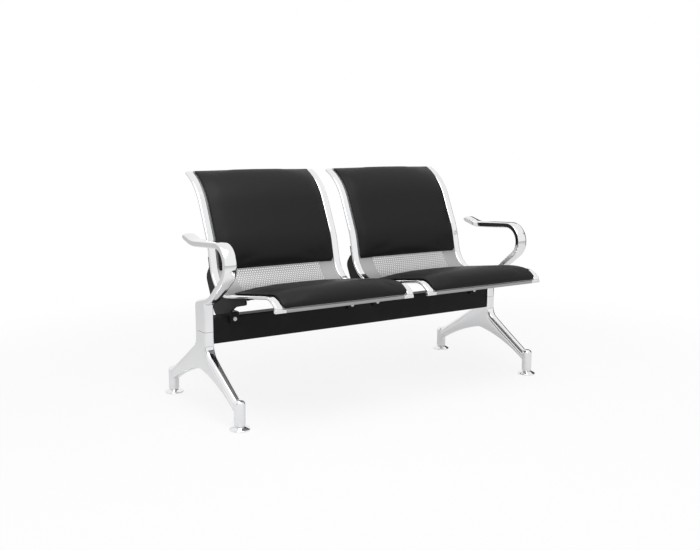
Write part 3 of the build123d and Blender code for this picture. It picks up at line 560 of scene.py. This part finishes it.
def sheet_skin(line, seat_x, sizes, start, end, stop):
    """Sheet of a seat: a flat pattern of holed cells among plain strips, laid on the seat line.

    A cell is a ring of quads from 16 points on its border to 16 on its hole. Rows of cells are staggered by
    half a pitch, so that the quarter points on their borders meet.
    """
    pitch = sizes.hole_pitch
    row_step = pitch * np.sqrt(3) / 2
    columns = int(sizes.hole_field / pitch)
    rows = int((end - start) / row_step)
    first = (start + end - rows * row_step) / 2
    field = columns * pitch / 2
    half = sizes.seat_width / 2 - sizes.rail_width
    quarter = np.linspace(-0.5, 0.5, 5)[:4]
    border = np.concatenate(
        [
            np.stack([quarter, np.full(4, -0.5)], -1),
            np.stack([np.full(4, 0.5), quarter], -1),
            np.stack([-quarter, np.full(4, 0.5)], -1),
            np.stack([np.full(4, -0.5), -quarter], -1),
        ]
    ) * (pitch, row_step)
    angle = np.radians(-135 + 22.5 * np.arange(16))
    hole = sizes.hole / 2 * np.stack([np.cos(angle), np.sin(angle)], -1)
    row, column = np.mgrid[0:rows, 0:columns]
    odd = row % 2
    centre = np.stack([-field + (column + 0.5 + odd / 2) * pitch, first + (row + 0.5) * row_step], -1)
    centre = centre[(odd == 0) | (column < columns - 1)].reshape(-1, 1, 2)
    cells = np.concatenate([centre + border, centre + hole], axis=1)
    k = np.arange(16)
    ring = np.stack([k, (k + 1) % 16, 16 + (k + 1) % 16, 16 + k], -1)
    ring = (ring + 32 * np.arange(len(cells))[:, None, None]).reshape(-1, 4)
    skins = [(cells.reshape(-1, 2), ring)]
    fine = np.linspace(-field, field, 4 * columns + 1)
    band = np.linspace(first, first + rows * row_step, 4 * rows + 1)
    margin = np.linspace(field, half, 7)
    wide = np.r_[-margin[:0:-1], fine, margin[1:]]
    marks = line.stations()
    below = np.r_[marks[marks < first - WELD], first]
    above = np.r_[band[-1], marks[(marks > band[-1] + WELD) & (marks < stop - WELD)], stop]
    strips = [(wide, below), (wide, above), (margin, band), (-margin[::-1], band)]
    for odd_row in range(1, rows, 2):
        ends = band[4 * odd_row : 4 * odd_row + 5]
        strips += [(fine[:3], ends), (fine[-3:], ends)]
    for x, distance in strips:
        grid = np.stack(np.meshgrid(x, distance), -1).reshape(-1, 2)
        skins.append((grid, quad_grid(len(distance), len(x))))
    return [
        (lay_on(line, seat_x + flat[:, 0], flat[:, 1], np.zeros(len(flat))), quads.tolist())
        for flat, quads in skins
    ]


def pad_skin(span, half, crown, border, noses):
    """Pad lying flat: sections along it, each half a superellipse over a level base.

    At angle t the section lies at half * |cos t|^p across and at its height * |sin t|^p, where the height
    falls as a parabola from the crown to the border. Near an end the height follows a superellipse as well.
    """
    sections = 90
    marks = np.concatenate([[0], np.cumsum(np.full(sections, span / sections))])
    rise = np.ones_like(marks)
    for distance, (reach, tip) in zip((marks, span - marks), noses):
        near = np.clip(1 - distance / reach, 0, 1)
        rise *= tip + (1 - tip) * (1 - near**NOSE_POWER) ** (1 / NOSE_POWER)
    turn = np.linspace(0, np.pi, 61)
    x = half * np.sign(np.cos(turn)) * np.abs(np.cos(turn)) ** SECTION_POWER
    height = border + (crown - border) * (1 - (x / half) ** 2)
    height = height * np.abs(np.sin(turn)) ** SECTION_POWER
    base = np.linspace(-half, half, 60)[1:-1]
    x = np.r_[x, base]
    height = np.r_[height, np.zeros(len(base))]
    rings = np.stack(np.broadcast_arrays(x, marks[:, None], height * rise[:, None]), -1)
    return tube(rings)


def evened(mesh, field, rounds):
    """A field on a mesh's points, each round halfway to the mean of its neighbours along the edges."""
    ends = np.empty(2 * len(mesh.edges), np.int32)
    mesh.edges.foreach_get("vertices", ends)
    ends = ends.reshape(-1, 2)
    count = np.bincount(ends.ravel(), minlength=len(field))[:, None]
    for _ in range(rounds):
        total = np.zeros_like(field)
        np.add.at(total, ends[:, 0], field[ends[:, 1]])
        np.add.at(total, ends[:, 1], field[ends[:, 0]])
        field = (field + total / count) / 2
    return field


def stuffed(pad, cap):
    """Points of a pad whose cloth cover swells under pressure, with its base held, by a cap at most.

    Most of each move is evened out over its neighbours.
    """
    remesh = pad.modifiers.new("Even skin", "REMESH")
    remesh.mode = "VOXEL"
    remesh.voxel_size = SKIN_STEP
    mesh = applied(pad)
    pad.modifiers.clear()
    pad.data = mesh
    before = np.empty(3 * len(mesh.vertices), np.float32)
    mesh.vertices.foreach_get("co", before)
    held = np.flatnonzero(before[2::3] < 0.0015)
    base = pad.vertex_groups.new(name="base")
    base.add(held.tolist(), 1.0, "REPLACE")
    cover = pad.modifiers.new("Cover", "CLOTH")
    cover.settings.vertex_group_mass = base.name
    cover.settings.use_pressure = True
    cover.settings.uniform_pressure_force = COVER_PRESSURE
    cover.settings.effector_weights.gravity = 0.0
    for step in range(1, COVER_FRAMES + 1):
        bpy.context.scene.frame_set(step)
    swollen = applied(pad)
    after = np.empty_like(before)
    swollen.vertices.foreach_get("co", after)
    bpy.data.meshes.remove(swollen)
    pad.modifiers.clear()
    bpy.context.scene.frame_set(1)
    before = before.reshape(-1, 3)
    move = after.reshape(-1, 3) - before
    far = np.linalg.norm(move, axis=1, keepdims=True)
    move *= np.minimum(1, cap / np.maximum(far, 1e-9))
    return before + EVEN_SHARE * evened(mesh, move, EVEN_ROUNDS) + (1 - EVEN_SHARE) * move


# Finishes


class Link:
    """An output of a shader node; arithmetic on it adds Math nodes."""

    def __init__(self, finish, socket):
        self.finish = finish
        self.socket = socket

    def maths(self, operation, *values):
        """A Math node on values or links."""
        return self.finish.node("ShaderNodeMath", {"operation": operation}, dict(enumerate(values)))

    def __add__(self, other):
        return self.maths("ADD", self, other)

    def __radd__(self, other):
        return self.maths("ADD", other, self)

    def __sub__(self, other):
        return self.maths("SUBTRACT", self, other)

    def __rsub__(self, other):
        return self.maths("SUBTRACT", other, self)

    def __mul__(self, other):
        return self.maths("MULTIPLY", self, other)

    def __rmul__(self, other):
        return self.maths("MULTIPLY", other, self)

    def eased(self, start, end):
        """Share of the way from start to end, eased at both ends."""
        return self.finish.node(
            "ShaderNodeMapRange",
            {"interpolation_type": "SMOOTHSTEP"},
            {"Value": self, "From Min": start, "From Max": end},
        )


class Finish:
    """A node tree that a material or the world is written into."""

    def __init__(self, tree):
        self.tree = tree

    def node(self, kind, choices=None, sockets=None, out=0):
        """A node of a kind with its choices set first, then its sockets as values or links."""
        node = self.tree.nodes.new(kind)
        for name, value in (choices or {}).items():
            setattr(node, name, value)
        for name, value in (sockets or {}).items():
            self.feed(node.inputs[name], value)
        return Link(self, node.outputs[out])

    def feed(self, socket, value):
        """Set a socket to a value, or join a link to it."""
        if isinstance(value, Link):
            self.tree.links.new(value.socket, socket)
        else:
            socket.default_value = value

    def rays(self):
        """Whether a ray comes from the camera, from a mirror or through glass."""
        kinds = ("Is Camera Ray", "Is Glossy Ray", "Is Transmission Ray")
        return [self.node("ShaderNodeLightPath", {}, {}, kind) for kind in kinds]

    def noise(self, place, scale, detail=2.0, rough=0.5):
        """Noise at a place, at a number of lumps in a metre."""
        sockets = {"Vector": place, "Scale": scale, "Detail": detail, "Roughness": rough}
        return self.node("ShaderNodeTexNoise", {}, sockets)

    def place(self):
        """Object coordinates."""
        return self.node("ShaderNodeTexCoord", {}, {}, "Object")

    def stretched(self, place, scale):
        """A place scaled along each axis."""
        return self.node("ShaderNodeMapping", {}, {"Vector": place, "Scale": scale})

    def blend(self, share, first, second):
        """Colour between two colours."""
        sockets = {0: share, 6: first, 7: second}
        return self.node("ShaderNodeMix", {"data_type": "RGBA"}, sockets, 2)

    def bump(self, height, strength, distance):
        """Normal of a height."""
        sockets = {"Height": height, "Strength": strength, "Distance": distance}
        return self.node("ShaderNodeBump", {}, sockets)


def shade(colour_value, level):
    """A colour at a share of its light, as four numbers."""
    return (*(min(1.0, part * level) for part in colour_value), 1.0)


def new_finish(name, write):
    """A material by name, written once into its shader's sockets."""
    material = bpy.data.materials.get(name)
    if material is None:
        material = bpy.data.materials.new(name)
        material.use_nodes = True
        finish = Finish(material.node_tree)
        surface = material.node_tree.nodes["Principled BSDF"]
        for socket, value in write(finish, settings().finishes).items():
            finish.feed(surface.inputs[socket], value)
    return material


def chrome():
    """Polished chrome: even tint, faint haze from wiping and the slight waviness of a polished casting."""

    def write(f, finishes):
        place = f.place()
        haze = f.noise(place, 7.0, 4.0, 0.6)
        wipe = f.noise(f.stretched(place, (18.0, 18.0, 140.0)), 1.0, 3.0)
        wave = f.noise(place, 26.0, 1.0)
        return {
            "Base Color": f.blend(
                haze.eased(0.3, 0.75), shade(finishes.chrome, 0.97), shade(finishes.chrome, 1.03)
            ),
            "Metallic": 1.0,
            "Roughness": 0.045 + 0.05 * haze * wipe,
            "Normal": f.bump(wave, 0.06, 0.004),
        }

    return new_finish("polished_chrome", write)


def silver():
    """Silver paint on sheet: fine flake, an orange-peel skin and a little handling haze."""

    def write(f, finishes):
        place = f.place()
        flake = f.noise(place, 2600.0, 1.0)
        peel = f.noise(place, 420.0, 2.0)
        haze = f.noise(place, 9.0, 3.0)
        return {
            "Base Color": f.blend(flake, shade(finishes.silver, 0.88), shade(finishes.silver, 1.12)),
            "Metallic": 0.55,
            "Roughness": 0.34 + 0.1 * haze + 0.06 * flake,
            "Normal": f.bump(peel, 0.12, 0.0004),
        }

    return new_finish("silver_paint", write)


def coat():
    """Black powder coat: fine pebbled skin, greyer where it is rubbed."""

    def write(f, finishes):
        place = f.place()
        pebble = f.noise(place, 900.0, 2.0)
        rub = f.noise(place, 11.0, 4.0, 0.6).eased(0.5, 0.8)
        return {
            "Base Color": f.blend(rub, shade(finishes.coat, 0.9), shade(finishes.coat, 1.5)),
            "Specular IOR Level": 0.14,
            "Roughness": 0.42 + 0.1 * pebble - 0.05 * rub,
            "Normal": f.bump(pebble, 0.2, 0.0003),
        }

    return new_finish("black_powder_coat", write)


def leather():
    """Coated black leather cloth: pebble grain between fine creases, with softer and shinier patches."""

    def write(f, finishes):
        place = f.place()
        sway = f.noise(place, 260.0, 2.0)
        edges = {"feature": "DISTANCE_TO_EDGE"}
        cell = f.node("ShaderNodeTexVoronoi", edges, {"Vector": place, "Scale": 620.0})
        grain = cell.eased(0.02, 0.32) + 0.5 * sway
        patch = f.noise(place, 12.0, 3.0)
        pull = f.noise(f.stretched(place, (14.0, 30.0, 30.0)), 1.0, 2.0)
        fine = f.bump(grain, 0.16, 0.0004)
        return {
            "Base Color": f.blend(
                grain.eased(0.2, 1.1), shade(finishes.leather, 0.75), shade(finishes.leather, 1.15)
            ),
            "Specular IOR Level": 0.14,
            "Roughness": 0.4 + 0.08 * patch + 0.05 * (1 - cell.eased(0.0, 0.2)),
            "Normal": f.node(
                "ShaderNodeBump", {}, {"Height": pull, "Strength": 0.1, "Distance": 0.006, "Normal": fine}
            ),
        }

    return new_finish("black_leather_cloth", write)


def zinc():
    """Zinc-plated fasteners: cloudy grey with fine turning marks."""

    def write(f, finishes):
        place = f.place()
        cloud = f.noise(place, 160.0, 3.0)
        mark = f.noise(f.stretched(place, (900.0, 90.0, 900.0)), 1.0, 2.0)
        return {
            "Base Color": f.blend(cloud, shade(finishes.zinc, 0.8), shade(finishes.zinc, 1.15)),
            "Metallic": 0.9,
            "Roughness": 0.3 + 0.18 * cloud,
            "Normal": f.bump(mark, 0.1, 0.0002),
        }

    return new_finish("zinc_plating", write)


def plywood():
    """Plywood: long grain with darker streaks."""

    def write(f, finishes):
        place = f.place()
        grain = f.noise(f.stretched(place, (9.0, 160.0, 160.0)), 1.0, 4.0, 0.6)
        streak = f.noise(f.stretched(place, (3.0, 40.0, 40.0)), 1.0, 2.0)
        return {
            "Base Color": f.blend(
                grain * 0.7 + streak * 0.3, shade(finishes.plywood, 0.6), shade(finishes.plywood, 1.25)
            ),
            "Roughness": 0.55 + 0.2 * grain,
            "Normal": f.bump(grain, 0.2, 0.0005),
        }

    return new_finish("birch_plywood", write)


# Operators


class BENCH_OT_stage(bpy.types.Operator):
    """Set the floor, the light and the camera"""

    bl_idname = "bench.stage"
    bl_label = "Stage"

    def execute(self, context):
        stage = settings().stage
        scene = context.scene
        scene.view_settings.view_transform = "Standard"
        self.set_camera(scene, stage)
        self.set_world(scene, stage)
        self.set_floor(scene, stage)
        self.set_card(scene, "right_card", 2.3, (-0.9, 1.9), (0.0, 1.5))
        self.set_card(scene, "left_card", -2.4, (-0.75, -0.35), (0.2, 2.0))
        self.set_lamp(scene, "key_lamp", stage.key, (-0.8, -1.1, 3.0), 2.4)
        self.set_lamp(scene, "fill_lamp", stage.fill, (2.4, -1.4, 1.7), 1.8).visible_glossy = False
        return {"FINISHED"}

    def set_camera(self, scene, stage):
        """Camera at the eye, turned to the target."""
        camera = bpy.data.cameras.new("camera")
        camera.lens = stage.lens
        camera.sensor_width = 36.0
        holder = bpy.data.objects.new("camera", camera)
        scene.collection.objects.link(holder)
        eye = Vector(stage.eye)
        holder.location = eye
        holder.rotation_euler = (Vector(stage.target) - eye).to_track_quat("-Z", "Y").to_euler()
        scene.camera = holder

    def set_world(self, scene, stage):
        """White world for what is seen and mirrored, at the ambient level for what it lights."""
        world = bpy.data.worlds.new("studio")
        world.use_nodes = True
        scene.world = world
        f = Finish(world.node_tree)
        seen, mirrored, passed = f.rays()
        shown = seen.maths("MINIMUM", seen + mirrored + passed, 1.0)
        background = world.node_tree.nodes["Background"]
        background.inputs["Color"].default_value = WHITE
        f.feed(background.inputs["Strength"], stage.ambient + (1.0 - stage.ambient) * shown)

    def set_floor(self, scene, stage):
        """Wide pale floor with a soft shadow.

        The camera sees the white world through most of it, and so a foot that is screwed out below it.
        """
        reach = (-60.0, 60.0)
        below_feet = -0.0005
        grid = np.stack(np.meshgrid(reach, reach, [below_feet]), -1).reshape(-1, 3)
        mesh = bpy.data.meshes.new("floor")
        mesh.from_pydata(grid, [], [(0, 2, 3, 1)])
        material = bpy.data.materials.new("floor")
        material.use_nodes = True
        f = Finish(material.node_tree)
        seen, mirrored, passed = f.rays()
        matt = f.node("ShaderNodeBsdfDiffuse", {}, {"Color": (*stage.floor, 1.0)})
        plain = f.node("ShaderNodeEmission", {}, {"Color": WHITE, "Strength": 1.0})
        spot = f.node("ShaderNodeVectorMath", {"operation": "LENGTH"}, {0: f.place()}, "Value")
        clear = f.node("ShaderNodeBsdfTransparent", {}, {"Color": WHITE})
        mirror_white, seen_through = 0.4, 0.86
        white = (mirrored + passed) * mirror_white
        pale = f.node("ShaderNodeMixShader", {}, {0: white, 1: matt, 2: plain})
        share = seen * (seen_through + (1 - seen_through) * spot.eased(1.0, 2.4))
        both = f.node("ShaderNodeMixShader", {}, {0: share, 1: pale, 2: clear})
        f.feed(material.node_tree.nodes["Material Output"].inputs["Surface"], both)
        mesh.materials.append(material)
        floor = bpy.data.objects.new("floor", mesh)
        scene.collection.objects.link(floor)
        floor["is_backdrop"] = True

    def set_card(self, scene, name, x, depth, height):
        """Dark upright card at a side, which only polished surfaces show."""
        corners = np.stack(np.meshgrid([x], depth, height), -1).reshape(-1, 3)
        mesh = bpy.data.meshes.new(name)
        mesh.from_pydata(corners, [], [(0, 1, 3, 2)])
        material = bpy.data.materials.new(name)
        material.use_nodes = True
        surface = material.node_tree.nodes["Principled BSDF"]
        surface.inputs["Base Color"].default_value = CARD_BLACK
        mesh.materials.append(material)
        card = bpy.data.objects.new(name, mesh)
        scene.collection.objects.link(card)
        card.visible_camera = False
        card.visible_diffuse = False
        card.visible_shadow = False
        card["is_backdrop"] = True

    def set_lamp(self, scene, name, power, spot, size):
        """The holder of a square soft lamp at a spot, aimed at the bench."""
        lamp = bpy.data.lights.new(name, "AREA")
        lamp.energy = power
        lamp.size = size
        holder = bpy.data.objects.new(name, lamp)
        scene.collection.objects.link(holder)
        holder.location = spot
        aim = Vector(settings().stage.target) - Vector(spot)
        holder.rotation_euler = aim.to_track_quat("-Z", "Y").to_euler()
        return holder


class BENCH_OT_legs(bpy.types.Operator):
    """Build the two cast legs with the sockets of their feet"""

    bl_idname = "bench.legs"
    bl_label = "Legs"

    def execute(self, context):
        sizes = settings().sizes
        for name, side in SIDES.items():
            x = side * sizes.leg_centres / 2
            skins = [leg_skin(x, sizes), *(socket_skin(x, y) for y in FOOT_Y.values())]
            make_piece(f"{name}_leg_casting", skins, chrome(), "chrome", [f"{name}_leg"])
        return {"FINISHED"}


class BENCH_OT_arms(bpy.types.Operator):
    """Build the two cast arms"""

    bl_idname = "bench.arms"
    bl_label = "Arms"

    def execute(self, context):
        sizes = settings().sizes
        for name, side in SIDES.items():
            skin = arm_skin(side * sizes.leg_centres / 2, sizes)
            make_piece(f"{name}_arm_casting", [skin], chrome(), "chrome", [f"{name}_arm"])
        return {"FINISHED"}


class BENCH_OT_feet(bpy.types.Operator):
    """Build the four levelling discs"""

    bl_idname = "bench.feet"
    bl_label = "Feet"

    def execute(self, context):
        sizes = settings().sizes
        share = np.linspace(0, 1, 12)
        flank_height = 0.0042 + 0.0090 * share + 0.0006 * np.sin(np.pi * share)
        flank = np.stack([0.0325 - 0.0175 * share, flank_height], -1)
        profile = np.r_[
            [(0, 0.0), (0.031, 0.0), (0.0324, 0.0004), (0.033, 0.0012), (0.033, 0.0034)],
            flank,
            [(0.015, 0.0132), (0.015, 0.0152), (0.0145, 0.0157), (0, 0.0157)],
        ]
        for name, side in SIDES.items():
            for end, y in FOOT_Y.items():
                foot = f"{end}_{name}_foot"
                skin = turned(profile, side * sizes.leg_centres / 2, y)
                make_piece(f"{foot}_glide", [skin], chrome(), "chrome", [f"{foot}_disc"], foot, 35.0)
        return {"FINISHED"}


class BENCH_OT_beam(bpy.types.Operator):
    """Build the coated beam"""

    bl_idname = "bench.beam"
    bl_label = "Beam"

    def execute(self, context):
        sizes = settings().sizes
        end = (sizes.leg_centres - sizes.post_width) / 2
        depth, height, corner, end_round = 0.050, 0.090, 0.005, 0.0004
        skin = bar_along_x(-end, end, POST_MIDDLE, SEAM, depth, height, corner, end_round)
        make_piece("beam_tube", [skin], coat(), "black_coat", ["beam"])
        return {"FINISHED"}


class BENCH_OT_rails(bpy.types.Operator):
    """Build the side rails with their toes"""

    bl_idname = "bench.rails"
    bl_label = "Rails"

    def execute(self, context):
        sizes = settings().sizes
        line = seat_line()
        offset = (sizes.seat_width - sizes.rail_width) / 2
        toe_end = sizes.seat_width / 2
        toe_start = toe_end - TOE_LENGTH
        front, _ = line.walk(0.0)
        for name, side in SIDES.items():
            seat_x = side * sizes.seat_pitch / 2
            rails = [rail_skin(line, seat_x + way * offset, sizes) for way in SIDES.values()]
            nodes = [f"{name}_seat_left_rail", f"{name}_seat_right_rail", f"{name}_seat_rail_caps"]
            make_piece(f"{name}_seat_rails", rails, chrome(), "chrome", nodes)
            spans = ((seat_x - toe_end, seat_x - toe_start), (seat_x + toe_start, seat_x + toe_end))
            y, z = front[0] - 0.001, front[1] - EDGE_HEIGHT / 2
            toes = [bar_along_x(*span, y, z, 0.013, EDGE_HEIGHT, 0.0025, 0.0022) for span in spans]
            make_piece(f"{name}_seat_toe_blocks", toes, chrome(), "chrome", [f"{name}_seat_toes"])
        return {"FINISHED"}


class BENCH_OT_sheets(bpy.types.Operator):
    """Build the perforated sheets and the bars along their edges"""

    bl_idname = "bench.sheets"
    bl_label = "Sheets"

    def execute(self, context):
        sizes = settings().sizes
        line = seat_line()
        front, _ = line.walk(0.0)
        bend = seat_bend(line)
        half = sizes.seat_width / 2 - sizes.rail_width
        for name, side in SIDES.items():
            seat_x = side * sizes.seat_pitch / 2
            stop = line.length - EDGE_HEIGHT
            skins = sheet_skin(line, seat_x, sizes, bend[0] - 0.004, bend[1] - 0.004, stop)
            flat = make_piece(f"{name}_flat", skins, silver(), "silver_sheet", [])
            wall = flat.modifiers.new("Wall", "SOLIDIFY")
            wall.thickness = sizes.sheet
            wall.offset = 0.0
            mesh = applied(flat)
            bpy.data.objects.remove(flat)
            place(f"{name}_seat_sheet", mesh, silver(), "silver_sheet", [f"{name}_seat_shell"], crease=40.0)
            reach = sizes.seat_width / 2 - TOE_LENGTH
            y, z = front[0] + 0.0005, front[1] - EDGE_HEIGHT / 2
            bar = bar_along_x(seat_x - reach, seat_x + reach, y, z, 0.014, EDGE_HEIGHT, 0.003, 0.0002)
            nodes = [f"{name}_seat_front_bar"]
            make_piece(f"{name}_seat_front_edge", [bar], silver(), "silver_sheet", nodes)
            loops = rounded_loops(np.full(4, half), np.full(4, 0.007), np.full(4, 0.003))
            marks = line.length - EDGE_HEIGHT + np.array([0.0, 0.003, 0.008, EDGE_HEIGHT])
            rings = lay_on(line, seat_x - loops[..., 0], marks[:, None], loops[..., 1])
            nodes = [f"{name}_seat_top_bar"]
            make_piece(f"{name}_seat_top_edge", [tube(rings)], silver(), "silver_sheet", nodes)
        return {"FINISHED"}


class BENCH_OT_cushions(bpy.types.Operator):
    """Build the seat and back cushions"""

    bl_idname = "bench.cushions"
    bl_label = "Cushions"

    def execute(self, context):
        sizes = settings().sizes
        line = seat_line()
        bend = seat_bend(line)
        half = sizes.seat_width / 2 - sizes.rail_width - PAD_ROOM
        # Start and end along the seat line, reach and tip height of each nose, and overhang over a rail
        pads = {
            "seat": (0.0010, bend[0] - 0.003, ((0.030, 0.62), (0.024, 0.48)), 0.0135),
            "back": (bend[1] - 0.014, line.length - 0.0005, ((0.030, 0.30), (0.046, 0.40)), 0.005),
        }
        for pad_name, (start, end, noses, overhang) in pads.items():
            points, faces = pad_skin(end - start, half, sizes.crown, sizes.border, noses)
            mesh = bpy.data.meshes.new("pad")
            mesh.from_pydata(points, [], faces)
            pad = bpy.data.objects.new("pad", mesh)
            context.scene.collection.objects.link(pad)
            flat = stuffed(pad, sizes.swell)
            along = np.clip(start + flat[:, 1], 0.0005, line.length + 0.0005)
            over_bar = smooth_step(along, line.length - 0.022, line.length - 0.0115)
            lift = np.maximum(flat[:, 2], 0.0) * (1 - BAR_THINNING * over_bar)
            lift = lift + sizes.sheet / 2 + PAD_GAP + BAR_LIFT * over_bar
            over_rail = smooth_step(np.abs(flat[:, 0]), half - 0.040, half)
            over_rail = over_rail * smooth_step(lift, 0.0060, 0.0090)
            x = flat[:, 0] + np.sign(flat[:, 0]) * overhang * over_rail
            for name, side in SIDES.items():
                laid = lay_on(line, side * sizes.seat_pitch / 2 + x, along, lift)
                skin = pad.data.copy()
                skin.vertices.foreach_set("co", laid.astype(np.float32).ravel())
                skin.update()
                nodes = [f"{name}_{pad_name}_cushion"]
                title = f"{name}_{pad_name}_pad"
                piece = place(title, skin, leather(), "black_leather", nodes, crease=180.0)
                smooth = piece.modifiers.new("Smooth", "SUBSURF")
                smooth.levels = 1
                smooth.render_levels = 1
            bpy.data.objects.remove(pad)
        return {"FINISHED"}


class BENCH_OT_fittings(bpy.types.Operator):
    """Finish the brackets, boards and fasteners of the frame"""

    bl_idname = "bench.fittings"
    bl_label = "Fittings"

    def execute(self, context):
        finishes = {"bracket": coat, "board": plywood}
        finishes.update(dict.fromkeys(("bolts", "nuts", "screws", "stud"), zinc))
        for name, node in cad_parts.items():
            finish = finishes.get(name.rsplit("_", 1)[-1])
            if finish is None:
                continue
            node.data.materials.clear()
            node.data.materials.append(finish())
        return {"FINISHED"}


class BENCH_PT_pieces(bpy.types.Panel):
    """Panel that lists the bench's pieces"""

    bl_idname = "BENCH_PT_pieces"
    bl_label = "Waiting bench"
    bl_space_type = "VIEW_3D"
    bl_region_type = "UI"
    bl_category = "Bench"

    def draw(self, context):
        for operator in OPERATORS:
            self.layout.operator(operator.bl_idname)
        for group in (settings().sizes, settings().finishes, settings().stage):
            box = self.layout.box()
            for name in group.__annotations__:
                box.prop(group, name)


OPERATORS = (
    BENCH_OT_stage,
    BENCH_OT_legs,
    BENCH_OT_arms,
    BENCH_OT_feet,
    BENCH_OT_beam,
    BENCH_OT_rails,
    BENCH_OT_sheets,
    BENCH_OT_cushions,
    BENCH_OT_fittings,
)
CLASSES = (BenchSizes, BenchFinishes, BenchStage, BenchSettings, *OPERATORS, BENCH_PT_pieces)


def register():
    """Add the classes and the scene's settings."""
    for kind in CLASSES:
        bpy.utils.register_class(kind)
    bpy.types.Scene.waiting_bench = PointerProperty(type=BenchSettings)


def unregister():
    """Take the settings and the classes away."""
    del bpy.types.Scene.waiting_bench
    for kind in reversed(CLASSES):
        bpy.utils.unregister_class(kind)


def main():
    """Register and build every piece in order."""
    register()
    bpy.ops.bench.stage()
    bpy.ops.bench.legs()
    bpy.ops.bench.arms()
    bpy.ops.bench.feet()
    bpy.ops.bench.beam()
    bpy.ops.bench.rails()
    bpy.ops.bench.sheets()
    bpy.ops.bench.cushions()
    bpy.ops.bench.fittings()
    boxes = {"cad": cad_box, "visual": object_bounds()}
    boxes = {name: [list(corner) for corner in box] for name, box in boxes.items()}


if __name__ == "__main__":
    main()
